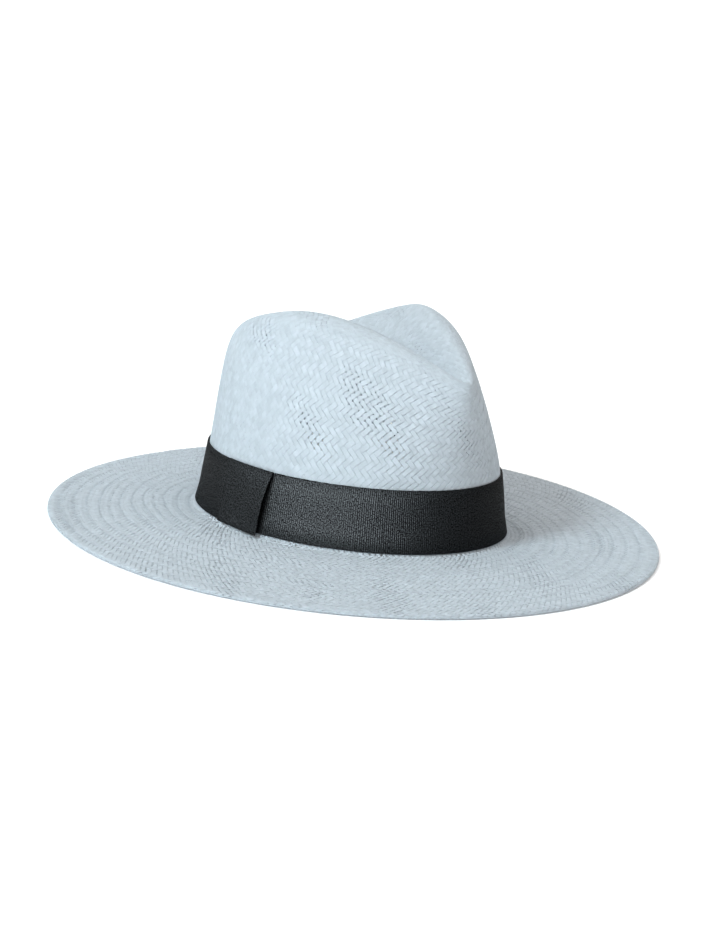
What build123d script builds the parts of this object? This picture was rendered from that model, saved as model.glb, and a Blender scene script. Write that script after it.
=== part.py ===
from build123d import *
import math
import os

# A wide-brimmed panama hat: a fedora crown with a centre dent and a front pinch.
# Millimetres.  +Z is up and the front of the hat faces -Y.  The origin is the centre of the flat
# brim edge, on the surface that the hat rests on.

# Brim
BRIM_HALF_WIDTH = 182.0
BRIM_HALF_LENGTH = 189.0
BRIM_EDGE_TOP = 2.6
HEM_WIDTH = 11.0

# Head opening, measured outside the straw where the crown meets the brim
HEAD_HALF_WIDTH = 86.0
HEAD_HALF_LENGTH = 101.0
HEAD_SET_BACK = 3.3
BREAK_HEIGHT = 5.0
WALL_FOOT_HEIGHT = 5.6
WALL_TOP_HEIGHT = 45.5
WALL_TAPER = 5.0

# Crown
RIDGE_HEIGHT = 142.0
RIDGE_FRONT_HEIGHT = 104.5
RIDGE_BACK_HEIGHT = 94.0
RIDGE_HALF_WIDTH = 56.5
RIDGE_FRONT = 92.0
RIDGE_BACK = 44.5
RIDGE_SHIFT = -1.2
PINCH = 0.74
PINCH_SHARPNESS = 1.84
FRONT_DROP = 27.5
FRONT_DROP_SHARPNESS = 1.83
DENT_FLOOR_HEIGHT = 99.0
DENT_CENTRE_SHIFT = 8.0
BACK_SHELF_RISE = 12.0

# Straw, ribbon and sweatband
STRAW_THICKNESS = 1.2
RIBBON_THICKNESS = 0.8
RIBBON_WIDTH = 36.0
RIBBON_FOOT_HEIGHT = 7.8
FIT_GAP = 0.12
TAB_OVERHANG = 1.0
TAB_LIFT = 2.2
TAB_BACK_ANGLE = -101.0
TAB_FRONT_ANGLE = -80.0
SWEATBAND_THICKNESS = 0.8
SWEATBAND_GAP = 0.35
SWEATBAND_FOOT_HEIGHT = 8.0
SWEATBAND_WIDTH = 30.0
TAPE_THICKNESS = 0.4
TAPE_HALF_ANGLE = 6.0
LABEL_THICKNESS = 0.4
LABEL_HEIGHT = 12.0
LABEL_FOOT_HEIGHT = 16.0
LABEL_FROM_ANGLE = 159.0
LABEL_TO_ANGLE = 172.0

# Wire in the hem
WIRE_RADIUS = 0.5
WIRE_CHANNEL_RADIUS = 0.6
WIRE_INSET = 2.2
SLEEVE_RADIUS = 0.85
SLEEVE_CHANNEL_RADIUS = 0.95
SLEEVE_LENGTH = 24.0
WIRE_END_GAP = 1.0

# Thread
THREAD_RADIUS = 0.25
HEM_STITCH_COUNT = 120
HEM_STITCH_LENGTH = 3.0
SWEATBAND_STITCH_COUNT = 96
SWEATBAND_STITCH_LENGTH = 3.2
SWEATBAND_STITCH_HEIGHT = 10.0
TACK_LENGTH = 5.0

# Sampling of the curved surfaces
FIRST_STEP = 0.5
STRAW_ROWS = 50
HALF_TURN_POINTS = 33
WALL_ROWS = 9
PATCH_POINTS = 9
SURFACE_TOLERANCE = 0.04
WALL_TOLERANCE = 0.01


# ---- The crown and brim surface ---------------------------------------------------------------
# The surface is a cubic B-spline through closed rings, from the centre of the dent, over the
# ridge, down the wall and out to the brim edge.  The angle is 0 at the front, 90 on the wearer's
# left (+X) and 180 at the back.

def ring(half_width, front, back, centre_y, pinch, side_z, front_z, back_z, front_drop=0.0):
    return (half_width, front, back, centre_y, pinch, side_z, front_z, back_z, front_drop)


def ring_point(one_ring, angle):
    half_width, front, back, centre_y, pinch, side_z, front_z, back_z, front_drop = one_ring
    cosine = math.cos(angle)
    to_front = (1.0 + cosine) / 2.0
    narrowing = 1.0 - pinch * to_front ** PINCH_SHARPNESS
    mean_reach = (front + back) / 2.0
    reach_difference = (front - back) / 2.0
    undropped_front_z = front_z + front_drop
    even_part = (undropped_front_z + back_z) / 2.0 - side_z
    odd_part = (undropped_front_z - back_z) / 2.0
    x = half_width * math.sin(angle) * narrowing
    y = centre_y - cosine * (mean_reach + reach_difference * cosine)
    z = side_z + even_part * cosine ** 2 + odd_part * cosine
    z -= front_drop * to_front ** FRONT_DROP_SHARPNESS
    return (x, y + HEAD_SET_BACK, z)


def mix(start, end, share):
    return start + (end - start) * share


def dent_rings():
    floor = DENT_FLOOR_HEIGHT
    centre = DENT_CENTRE_SHIFT
    side_rise = RIDGE_HEIGHT - floor
    front_rise = RIDGE_FRONT_HEIGHT - floor
    back_rise = RIDGE_BACK_HEIGHT - floor
    return [
        ring(0.5, 0.5, 0.5, centre, 0.0, floor, floor, floor),
        ring(RIDGE_HALF_WIDTH * 0.18, RIDGE_FRONT * 0.35, RIDGE_BACK * 0.30, centre, 0.3,
             floor + 0.5, floor, floor + 0.5),
        ring(RIDGE_HALF_WIDTH * 0.45, RIDGE_FRONT * 0.65, RIDGE_BACK * 0.58,
             (centre + RIDGE_SHIFT) / 2.0, PINCH,
             floor + 0.30 * side_rise, floor + 0.45 * front_rise, floor + 0.45 * back_rise),
        ring(RIDGE_HALF_WIDTH * 0.80, RIDGE_FRONT * 0.88, RIDGE_BACK * 0.82, RIDGE_SHIFT, PINCH,
             floor + 0.85 * side_rise, floor + 0.90 * front_rise, floor + 0.88 * back_rise,
             FRONT_DROP * 0.8),
        ring(RIDGE_HALF_WIDTH, RIDGE_FRONT, RIDGE_BACK, RIDGE_SHIFT, PINCH,
             RIDGE_HEIGHT, RIDGE_FRONT_HEIGHT, RIDGE_BACK_HEIGHT, FRONT_DROP),
    ]


def shoulder_ring(side_out, front_out, back_out, down, pinch_left, back_rise):
    """A ring part of the way from the ridge to the top of the straight wall."""
    top_half_width = HEAD_HALF_WIDTH - WALL_TAPER
    top_half_length = HEAD_HALF_LENGTH - WALL_TAPER
    return ring(mix(RIDGE_HALF_WIDTH, top_half_width, side_out),
                mix(RIDGE_FRONT, top_half_length, front_out),
                mix(RIDGE_BACK, top_half_length, back_out),
                RIDGE_SHIFT * (1.0 - back_out),
                PINCH * pinch_left,
                mix(RIDGE_HEIGHT, WALL_TOP_HEIGHT, down),
                mix(RIDGE_FRONT_HEIGHT, WALL_TOP_HEIGHT, down),
                mix(RIDGE_BACK_HEIGHT, WALL_TOP_HEIGHT, down) + back_rise,
                FRONT_DROP * (1.0 - down))


def wall_rings():
    middle_height = (WALL_FOOT_HEIGHT + WALL_TOP_HEIGHT) / 2.0
    rings = [
        shoulder_ring(0.30, 0.31, 0.67, 0.04, 0.84, BACK_SHELF_RISE),
        shoulder_ring(0.61, 0.38, 0.93, 0.10, 0.86, BACK_SHELF_RISE * 0.4),
        shoulder_ring(0.78, 0.58, 0.98, 0.41, 0.49, 0.0),
        shoulder_ring(0.87, 0.72, 1.02, 0.75, 0.15, 0.0),
    ]
    for taper, height in ((WALL_TAPER, WALL_TOP_HEIGHT),
                          (WALL_TAPER * 0.4, middle_height),
                          (0.0, WALL_FOOT_HEIGHT)):
        half_length = HEAD_HALF_LENGTH - taper
        rings.append(ring(HEAD_HALF_WIDTH - taper, half_length, half_length, 0.0, 0.0,
                          height, height, height))
    return rings


def brim_rings():
    rings = []
    for share in (0.0, 0.16, 0.38, 0.62, 0.82, 1.0):
        half_width = mix(HEAD_HALF_WIDTH + 4.4, BRIM_HALF_WIDTH, share)
        half_length = mix(HEAD_HALF_LENGTH + 4.4, BRIM_HALF_LENGTH, share)
        fall = 0.45 * share + 0.55 * share ** 2
        height = mix(BREAK_HEIGHT, BRIM_EDGE_TOP, fall)
        rings.append(ring(half_width, half_length, half_length, -HEAD_SET_BACK * share, 0.0,
                          height, height, height))
    return rings


RINGS = dent_rings() + wall_rings() + brim_rings()
LAST_RING = len(RINGS) - 1


def ring_or_beyond(index, angle):
    """The control point of a ring; past either end, the last two rings carried on straight."""
    if index < 0:
        first = ring_point(RINGS[0], angle)
        second = ring_point(RINGS[1], angle)
        return tuple(2.0 * a - b for a, b in zip(first, second))
    if index > LAST_RING:
        last = ring_point(RINGS[LAST_RING], angle)
        before = ring_point(RINGS[LAST_RING - 1], angle)
        return tuple(2.0 * a - b for a, b in zip(last, before))
    return ring_point(RINGS[index], angle)


def surface_point(step, angle):
    """The outer face of the straw; step counts rings from the dent's centre."""
    index = min(int(step), LAST_RING - 1)
    u = step - index
    weights = ((1.0 - u) ** 3 / 6.0,
               (3.0 * u ** 3 - 6.0 * u ** 2 + 4.0) / 6.0,
               (-3.0 * u ** 3 + 3.0 * u ** 2 + 3.0 * u + 1.0) / 6.0,
               u ** 3 / 6.0)
    corners = [ring_or_beyond(index - 1 + k, angle) for k in range(4)]
    return Vector(*(sum(w * c[axis] for w, c in zip(weights, corners)) for axis in range(3)))


def surface_normal(step, angle):
    nudge = 0.01
    low_step = max(step - nudge, 0.0)
    high_step = min(step + nudge, LAST_RING)
    along = surface_point(high_step, angle) - surface_point(low_step, angle)
    around = surface_point(step, angle + nudge) - surface_point(step, angle - nudge)
    return around.cross(along).normalized() * -1.0


def lerp_list(start, end, count):
    return [mix(start, end, k / (count - 1)) for k in range(count)]


# ---- Building solids from curved faces -----------------------------------------------------------

def spline_face(point_at, rows, angles, tolerance=SURFACE_TOLERANCE):
    """A smooth face through point_at(row, angle)."""
    grid = [[point_at(row, angle) for angle in angles] for row in rows]
    return Face.make_surface_from_array_of_points(grid, tol=tolerance)


def half_angles():
    return lerp_list(0.0, math.pi, HALF_TURN_POINTS)


def level_edge(face, highest):
    """The level boundary edge at the top or the bottom of a half face."""
    level = [edge for edge in face.edges() if edge.bounding_box().size.Z < 0.01]
    level.sort(key=lambda edge: edge.center().Z)
    return level[-1] if highest else level[0]


def mirrored_pair(shape):
    return [shape, shape.mirror(Plane.YZ)]


def sewn_solid(faces):
    return Solid(Shell(faces))


def thick_patch(outer_face, inner_face):
    """The solid between two four-sided faces whose edges correspond."""
    sides = [Face.make_surface_from_curves(outer_edge, inner_edge)
             for outer_edge, inner_edge in zip(outer_face.edges(), inner_face.edges())]
    return sewn_solid([outer_face, inner_face] + sides)


# ---- Straw body -------------------------------------------------------------------------------

def straw_point(offset, first_level, last_level):
    """A point of the straw's face, moved along its normal, with both end rows made level."""
    def point_at(step, angle):
        point = surface_point(step, angle)
        if offset:
            point += surface_normal(step, angle) * offset
        x, y, z = point.X, point.Y, point.Z
        if angle in (0.0, math.pi):
            x = 0.0
        if step == FIRST_STEP:
            z = first_level
        if step == LAST_RING:
            z = last_level
        return Vector(x, y, z)
    return point_at


def under_brim_point(point_at, hem_level):
    """The underside of the straw: it ends at the hem's inner edge, short of the brim edge."""
    def underside(step, angle):
        if step < LAST_RING:
            return point_at(step, angle)
        return Vector((BRIM_HALF_WIDTH - HEM_WIDTH) * math.sin(angle) if angle < math.pi else 0.0,
                      -(BRIM_HALF_LENGTH - HEM_WIDTH) * math.cos(angle), hem_level)
    return underside


def straw_body_shell():
    """Outer face, rim, flat underside of the hem, hem edge and inner face, sewn together."""
    hem_level = BRIM_EDGE_TOP - STRAW_THICKNESS + 0.15
    outer_at = straw_point(0.0, DENT_FLOOR_HEIGHT, BRIM_EDGE_TOP)
    inner_at = under_brim_point(
        straw_point(-STRAW_THICKNESS, DENT_FLOOR_HEIGHT - STRAW_THICKNESS, hem_level), hem_level)
    outer = spline_face(outer_at, lerp_list(FIRST_STEP, LAST_RING, STRAW_ROWS), half_angles())
    inner_rows = lerp_list(FIRST_STEP, LAST_RING - 1.0, STRAW_ROWS)
    inner = spline_face(inner_at, inner_rows + [LAST_RING], half_angles())
    faces = mirrored_pair(outer) + mirrored_pair(inner)
    bottom_wires = []
    for face, level in ((outer, BRIM_EDGE_TOP), (inner, hem_level)):
        faces.append(Face(Wire(mirrored_pair(level_edge(face, True)))))
        lowest = level_edge(face, False)
        faces += mirrored_pair(Face.extrude(lowest, (0.0, 0.0, -level)))
        bottom_wires.append(Wire(mirrored_pair(lowest.moved(Location((0.0, 0.0, -level))))))
    faces.append(Face(bottom_wires[0], [bottom_wires[1]]))
    return sewn_solid(faces)


def wire_corner(half_width, half_length):
    """Centres and radii of the four tangent arcs that stand for the oval of the wire."""
    slant = math.sqrt(0.5)
    difference = (half_length - half_width) / (2.0 * slant - 1.0)
    side_radius = half_width + difference * slant
    end_radius = half_length - difference * slant
    corner_x = half_width - side_radius + side_radius * slant
    corner_y = side_radius * slant
    return side_radius, end_radius, corner_x, corner_y


def wire_path(end_gap):
    """The oval of the wire, from one side of the back to the other; no gap closes it."""
    half_width = BRIM_HALF_WIDTH - WIRE_INSET
    half_length = BRIM_HALF_LENGTH - WIRE_INSET
    side_radius, end_radius, corner_x, corner_y = wire_corner(half_width, half_length)
    height = BRIM_EDGE_TOP / 2.0
    end_x = end_gap / 2.0
    centre_y = half_length - end_radius
    end_y = centre_y + math.sqrt(end_radius ** 2 - end_x ** 2)

    def at(x, y):
        return Vector(x, y, height)

    def back_arc(side):
        half_way = math.atan2(corner_x, corner_y - centre_y) / 2.0
        middle = at(side * end_radius * math.sin(half_way),
                    centre_y + end_radius * math.cos(half_way))
        return at(side * end_x, end_y), middle, at(side * corner_x, corner_y)

    right_start, right_middle, right_corner = back_arc(1)
    left_start, left_middle, left_corner = back_arc(-1)
    return Wire([
        Edge.make_three_point_arc(right_start, right_middle, right_corner),
        Edge.make_three_point_arc(right_corner, at(half_width, 0.0), at(corner_x, -corner_y)),
        Edge.make_three_point_arc(at(corner_x, -corner_y), at(0.0, -half_length),
                                  at(-corner_x, -corner_y)),
        Edge.make_three_point_arc(at(-corner_x, -corner_y), at(-half_width, 0.0), left_corner),
        Edge.make_three_point_arc(left_corner, left_middle, left_start),
    ])


def back_arc_path(length):
    """The stretch of the wire's oval that is centred on the back."""
    half_width = BRIM_HALF_WIDTH - WIRE_INSET
    half_length = BRIM_HALF_LENGTH - WIRE_INSET
    end_radius = wire_corner(half_width, half_length)[1]
    half_angle = length / 2.0 / end_radius
    centre_y = half_length - end_radius
    height = BRIM_EDGE_TOP / 2.0
    ends = [Vector(side * end_radius * math.sin(half_angle),
                   centre_y + end_radius * math.cos(half_angle), height) for side in (1, -1)]
    return Wire([Edge.make_three_point_arc(ends[0], Vector(0.0, half_length, height), ends[1])])


def tube(path, radius):
    start = path.position_at(0)
    profile = Plane(origin=start, z_dir=path.tangent_at(0)) * Circle(radius)
    return sweep(profile, path=path).solid()


def straw_body():
    body = straw_body_shell()
    body -= tube(wire_path(0.05), WIRE_CHANNEL_RADIUS)
    body -= tube(back_arc_path(SLEEVE_LENGTH + 2.0), SLEEVE_CHANNEL_RADIUS)
    return body


def brim_wire():
    return tube(wire_path(WIRE_END_GAP), WIRE_RADIUS)


def wire_sleeve():
    path = back_arc_path(SLEEVE_LENGTH)
    return tube(path, SLEEVE_RADIUS) - tube(path, WIRE_CHANNEL_RADIUS)


# ---- Rings of ribbon and cloth round the wall --------------------------------------------------

def wall_point(height, angle):
    """The outer face of the straw wall at a height, found by halving."""
    low_step = LAST_RING - 9.4
    high_step = LAST_RING - 5.0
    for _ in range(40):
        middle = (low_step + high_step) / 2.0
        if surface_point(middle, angle).Z > height:
            low_step = middle
        else:
            high_step = middle
    return surface_point(low_step, angle)


def wall_offset_point(height, angle, offset):
    nudge = 0.005
    around = wall_point(height, angle + nudge) - wall_point(height, angle - nudge)
    outward = Vector(around.Y, -around.X, 0.0).normalized()
    return wall_point(height, angle) + outward * offset


def wall_face(foot, width, offset_at, angles):
    heights = lerp_list(foot, foot + width, WALL_ROWS)
    return spline_face(lambda height, angle: wall_offset_point(height, angle, offset_at(angle)),
                       heights, angles, WALL_TOLERANCE)


def wall_ring(foot, width, inner_offset, outer_offset):
    """A closed ring of cloth that follows the wall, between two offsets from it."""
    outer = wall_face(foot, width, constant(outer_offset), half_angles())
    inner = wall_face(foot, width, constant(inner_offset), half_angles())
    faces = mirrored_pair(outer) + mirrored_pair(inner)
    for highest in (True, False):
        rims = [Wire(mirrored_pair(level_edge(face, highest))) for face in (outer, inner)]
        faces.append(Face(rims[0], [rims[1]]))
    return sewn_solid(faces)


def wall_patch(foot, width, inner_at, outer_at, from_degrees, to_degrees):
    """A piece of cloth on the wall between two angles."""
    angles = lerp_list(math.radians(from_degrees), math.radians(to_degrees), PATCH_POINTS)
    return thick_patch(wall_face(foot, width, outer_at, angles),
                       wall_face(foot, width, inner_at, angles))


def constant(value):
    return lambda angle: value


def hat_band():
    return wall_ring(RIBBON_FOOT_HEIGHT, RIBBON_WIDTH, FIT_GAP, FIT_GAP + RIBBON_THICKNESS)


def tab_lift(angle):
    """The tab lies on the ribbon at its back edge and stands off it at its front edge."""
    share = (math.degrees(angle) - TAB_BACK_ANGLE) / (TAB_FRONT_ANGLE - TAB_BACK_ANGLE)
    return TAB_LIFT * share ** 2


def band_tab():
    seat = FIT_GAP + RIBBON_THICKNESS + 0.1
    return wall_patch(RIBBON_FOOT_HEIGHT - TAB_OVERHANG * 0.3, RIBBON_WIDTH + TAB_OVERHANG,
                      lambda angle: seat + tab_lift(angle),
                      lambda angle: seat + RIBBON_THICKNESS + tab_lift(angle),
                      TAB_BACK_ANGLE, TAB_FRONT_ANGLE)


def sweatband_face():
    """The offset of the sweatband's inner face from the outside of the straw."""
    return -STRAW_THICKNESS - SWEATBAND_GAP - SWEATBAND_THICKNESS


def sweatband():
    return wall_ring(SWEATBAND_FOOT_HEIGHT, SWEATBAND_WIDTH,
                     sweatband_face(), sweatband_face() + SWEATBAND_THICKNESS)


def sweatband_patch(foot, width, thickness, from_degrees, to_degrees):
    outer = sweatband_face() - 0.05
    return wall_patch(foot, width, constant(outer - thickness), constant(outer),
                      from_degrees, to_degrees)


def sweatband_tape():
    return sweatband_patch(SWEATBAND_FOOT_HEIGHT + 1.0, SWEATBAND_WIDTH - 2.0, TAPE_THICKNESS,
                           180.0 - TAPE_HALF_ANGLE, 180.0 + TAPE_HALF_ANGLE)


def size_label():
    return sweatband_patch(LABEL_FOOT_HEIGHT, LABEL_HEIGHT, LABEL_THICKNESS,
                           LABEL_FROM_ANGLE, LABEL_TO_ANGLE)


# ---- Stitches -----------------------------------------------------------------------------------

def thread_bar(start, end):
    run = end - start
    return Solid.make_cylinder(THREAD_RADIUS, run.length, Plane(origin=start, z_dir=run))


def hem_stitches():
    """Slanted stitches from the hem's inner edge to the underside of the brim."""
    stitches = []
    foot_inset = HEM_WIDTH - 0.3
    head_inset = HEM_WIDTH + HEM_STITCH_LENGTH
    foot_height = 0.6
    head_height = BRIM_EDGE_TOP - STRAW_THICKNESS - 0.05
    slant = 0.01
    for k in range(HEM_STITCH_COUNT):
        angle = 2.0 * math.pi * k / HEM_STITCH_COUNT
        foot = Vector((BRIM_HALF_WIDTH - foot_inset) * math.sin(angle),
                      -(BRIM_HALF_LENGTH - foot_inset) * math.cos(angle), foot_height)
        head = Vector((BRIM_HALF_WIDTH - head_inset) * math.sin(angle + slant),
                      -(BRIM_HALF_LENGTH - head_inset) * math.cos(angle + slant), head_height)
        stitches.append(thread_bar(foot, head))
    return Compound(stitches)


def sweatband_stitches():
    """A row of running stitches on the inner face of the sweatband."""
    stitches = []
    offset = sweatband_face() - THREAD_RADIUS * 0.6
    for k in range(SWEATBAND_STITCH_COUNT):
        angle = 2.0 * math.pi * (k + 0.5) / SWEATBAND_STITCH_COUNT
        if abs(math.degrees(angle) - 180.0) < TAPE_HALF_ANGLE + 2.0:
            continue
        centre = wall_offset_point(SWEATBAND_STITCH_HEIGHT, angle, offset)
        ahead = wall_offset_point(SWEATBAND_STITCH_HEIGHT, angle + 0.01, offset)
        half_run = (ahead - centre).normalized() * (SWEATBAND_STITCH_LENGTH / 2.0)
        stitches.append(thread_bar(centre - half_run, centre + half_run))
    return Compound(stitches)


def band_tacks():
    """Two short bars of thread on the ribbon, under the raised edge of the tab."""
    tacks = []
    angle = math.radians(TAB_FRONT_ANGLE - 3.0)
    offset = FIT_GAP + RIBBON_THICKNESS + THREAD_RADIUS * 0.6
    for height in (RIBBON_FOOT_HEIGHT + 6.0, RIBBON_FOOT_HEIGHT + RIBBON_WIDTH - 6.0):
        low = wall_offset_point(height - TACK_LENGTH / 2.0, angle, offset)
        high = wall_offset_point(height + TACK_LENGTH / 2.0, angle, offset)
        tacks.append(thread_bar(low, high))
    return Compound(tacks)


PIECES = {
    "straw_body": straw_body,
    "brim_wire": brim_wire,
    "wire_sleeve": wire_sleeve,
    "hem_stitches": hem_stitches,
    "hat_band": hat_band,
    "band_tab": band_tab,
    "band_tacks": band_tacks,
    "sweatband": sweatband,
    "sweatband_tape": sweatband_tape,
    "sweatband_stitches": sweatband_stitches,
    "size_label": size_label,
}

os.makedirs("parts", exist_ok=True)
for node, make in PIECES.items():
    export_step(make(), f"parts/{node}.step")
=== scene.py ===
import bpy
import math
import numpy as np
from mathutils import Matrix, Vector


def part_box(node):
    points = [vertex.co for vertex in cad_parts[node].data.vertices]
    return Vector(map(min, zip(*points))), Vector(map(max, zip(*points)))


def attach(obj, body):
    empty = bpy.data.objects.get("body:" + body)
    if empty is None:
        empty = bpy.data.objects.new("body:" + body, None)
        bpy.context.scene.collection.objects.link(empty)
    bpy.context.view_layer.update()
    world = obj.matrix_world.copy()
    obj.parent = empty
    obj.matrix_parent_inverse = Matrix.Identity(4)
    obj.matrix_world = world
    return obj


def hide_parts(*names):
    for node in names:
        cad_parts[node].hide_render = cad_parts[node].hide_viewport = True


# A wide-brimmed panama hat of woven paper straw, with a grosgrain ribbon.
# Shapes are worked out in millimetres: +Z up, the front towards -Y, and the origin at the centre of
# the flat brim edge.  Angles run from the front towards +X.  Objects are in metres.

MM = 0.001
FULL_TURN = 2.0 * math.pi

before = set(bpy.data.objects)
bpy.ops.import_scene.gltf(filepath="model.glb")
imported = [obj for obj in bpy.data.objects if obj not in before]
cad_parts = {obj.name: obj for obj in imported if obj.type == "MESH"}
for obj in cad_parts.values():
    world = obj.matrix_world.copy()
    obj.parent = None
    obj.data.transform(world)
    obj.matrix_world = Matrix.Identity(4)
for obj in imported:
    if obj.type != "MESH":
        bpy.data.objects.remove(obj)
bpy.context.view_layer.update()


def box_mm(node):
    low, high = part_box(node)
    return np.array(low) / MM, np.array(high) / MM


straw_high = box_mm("straw_body")[1]
ribbon_low, ribbon_high = box_mm("hat_band")
sweatband_low, sweatband_high = box_mm("sweatband")
tape_low, tape_high = box_mm("sweatband_tape")
label_low, label_high = box_mm("size_label")

# Brim and head opening
EDGE_RADIUS = 1.3
BRIM_HALF_WIDTH = straw_high[0] - EDGE_RADIUS
BRIM_HALF_LENGTH = straw_high[1] - EDGE_RADIUS
BRIM_EDGE_TOP = 2.6
HEM_WIDTH = 11.0
HEAD_HALF_WIDTH = 86.0
HEAD_HALF_LENGTH = 101.0
HEAD_SET_BACK = 3.3
BREAK_HEIGHT = 5.0
BREAK_REACH = 4.4
BRIM_RING_SHARES = (0.0, 0.16, 0.38, 0.62, 0.82, 1.0)
BRIM_STRAIGHT_FALL = 0.45
BRIM_CURVED_FALL = 0.55
WALL_FOOT_HEIGHT = 5.6
WALL_TOP_HEIGHT = 45.5
WALL_TAPER = 5.0

# Crown
RIDGE_HEIGHT = 142.0
RIDGE_FRONT_HEIGHT = 104.5
RIDGE_BACK_HEIGHT = 94.0
RIDGE_HALF_WIDTH = 56.5
RIDGE_FRONT = 92.0
RIDGE_BACK = 44.5
RIDGE_SHIFT = -1.2
PINCH = 0.74
PINCH_SHARPNESS = 1.84
FRONT_DROP = 27.5
FRONT_DROP_SHARPNESS = 1.83
DENT_FLOOR_HEIGHT = 99.0
DENT_CENTRE_SHIFT = 8.0
BACK_SHELF_RISE = 12.0

# The soft crown leans a little, away from the wearer's right front, and the brim lifts on the left
LEAN = math.radians(1.6)
LEAN_FROM = math.radians(-45.0)
LEAN_FULL_RING = 11.0
LEAN_NONE_RING = 15.5
WAVE_ANGLE = math.radians(100.0)
WAVE_LIFT = 2.2
WAVE_START = 0.6
WAVE_NARROWING = 0.9

# The grid that carries the weave
FIRST_STEP = 0.05
RING_ROWS = 560
ROUND_COLUMNS = 900
FINE_COLUMNS = 1440
EDGE_LOOPS = 12
HEM_LOOPS = 17
MIDDLE_DEPTH = 0.5

# Woven straw: each weave is the strips' thickness, their relief and how far they stand apart
CROWN_WEAVE = (0.24, 0.11, 0.05)
BRIM_WEAVE = (0.30, 0.28, 0.24)
CROWN_LIMITS = (1.5, 6.0, 10.0, 15.0, 22.0, 32.0, 45.0, 62.0)
CROWN_COUNTS = (8, 14, 20, 30, 42, 60, 84)
WALL_COUNT = 124
BRIM_LIMITS = (120.0, 148.0)
BRIM_PARTS = (("brim_inner", 176), ("brim_middle", 218), ("brim_outer", 270))
STRIP_WIDTH = 0.99
STRIP_WANDER = 0.022
STRIP_OVERHANG = 0.8
FLOAT_FLATNESS = 2.4
FLOAT_DIP = 0.55
TUCK_DEPTH = 0.5
GRAIN_LENGTH = 3.4
PROUD_RELIEF = 1.0
PROUD_STEP = 0.07
PATCH_GAP = 0.34
RIBBON_SIDE_GAP = 0.14
CALM_TURN = 0.3
CENTRE_RADIUS = 8.0
CENTRE_DEPTH = 0.1
CENTRE_THICKNESS = 0.4
CENTRE_ROWS = 12
CENTRE_COLUMN_STEP = 20

# Ribbon, tab and sweatband
WALL_STEPS = 60
STEPS_ABOVE_FOOT = 3.0
STEPS_BELOW_FOOT = 0.7
WALL_RADIUS = 94.0
SMALL_ANGLE = 0.01
RIBBON_OFFSET = 0.12
RIBBON_THICKNESS = 0.8
RIBBON_DROP = 0.8
RIBS_ROUND = 468
RIB_HEIGHT = 0.09
RIB_POINTS = 6
EDGE_ROUNDING = 0.25
TAB_BACK = math.radians(-101.0)
TAB_FRONT_FOOT = math.radians(-79.4)
TAB_FRONT_TOP = math.radians(-77.4)
TAB_RIBS = 30
TAB_THICKNESS = 0.7
TAB_PAST_FOOT = 0.4
TAB_PAST_TOP = 0.7
TAB_LIFT = 1.4
TAB_MIDDLE_LIFT = 2.8
TAB_FOOT_LIFT = 2.4
TAB_LIFT_SHARPNESS = 2.4
SWEATBAND_OFFSET = -2.35
SWEATBAND_THICKNESS = 0.8
SWEATBAND_EDGE_IN = 0.3
SWEATBAND_EDGE_OUT = -0.1
PATCH_CLOTH_THICKNESS = 0.4
PATCH_CLOTH_CLEARANCE = 0.05
THREAD_RADIUS = 0.25
SWEATBAND_STITCHES = 96
STITCH_CLEARANCE = 0.1
STITCH_HALF_LENGTH = 1.6
STITCH_INSET = 2.0
TACK_HALF_LENGTH = 2.5
TACK_INSET = 6.0
TACK_OFFSET = 0.2
TACK_BEHIND_FRONT = math.radians(3.0)

rng = np.random.default_rng(7)


# ---- The crown and brim surface -----------------------------------------------------------------

def mix(start, end, share):
    return start + (end - start) * share


def smooth_step(start, end, value):
    share = np.clip((value - start) / (end - start), 0.0, 1.0)
    return share * share * (3.0 - 2.0 * share)


def ring(half_width, front, back, centre_y, pinch, side_z, front_z, back_z, front_drop=0.0):
    """One control ring: its reach to the side, front and back, its pinch and its heights."""
    return (half_width, front, back, centre_y, pinch, side_z, front_z, back_z, front_drop)


def dent_rings():
    """Rings from the dent's middle up to the ridge, at growing shares of the ridge's size."""
    floor = DENT_FLOOR_HEIGHT
    centre = DENT_CENTRE_SHIFT
    side_rise = RIDGE_HEIGHT - floor
    front_rise = RIDGE_FRONT_HEIGHT - floor
    back_rise = RIDGE_BACK_HEIGHT - floor
    return [
        ring(0.5, 0.5, 0.5, centre, 0.0, floor, floor, floor),
        ring(RIDGE_HALF_WIDTH * 0.18, RIDGE_FRONT * 0.35, RIDGE_BACK * 0.30, centre, 0.3,
             floor + 0.5, floor, floor + 0.5),
        ring(RIDGE_HALF_WIDTH * 0.45, RIDGE_FRONT * 0.65, RIDGE_BACK * 0.58,
             (centre + RIDGE_SHIFT) / 2.0, PINCH,
             floor + 0.30 * side_rise, floor + 0.45 * front_rise, floor + 0.45 * back_rise),
        ring(RIDGE_HALF_WIDTH * 0.80, RIDGE_FRONT * 0.88, RIDGE_BACK * 0.82, RIDGE_SHIFT, PINCH,
             floor + 0.85 * side_rise, floor + 0.90 * front_rise, floor + 0.88 * back_rise,
             FRONT_DROP * 0.8),
        ring(RIDGE_HALF_WIDTH, RIDGE_FRONT, RIDGE_BACK, RIDGE_SHIFT, PINCH,
             RIDGE_HEIGHT, RIDGE_FRONT_HEIGHT, RIDGE_BACK_HEIGHT, FRONT_DROP),
    ]


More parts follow.
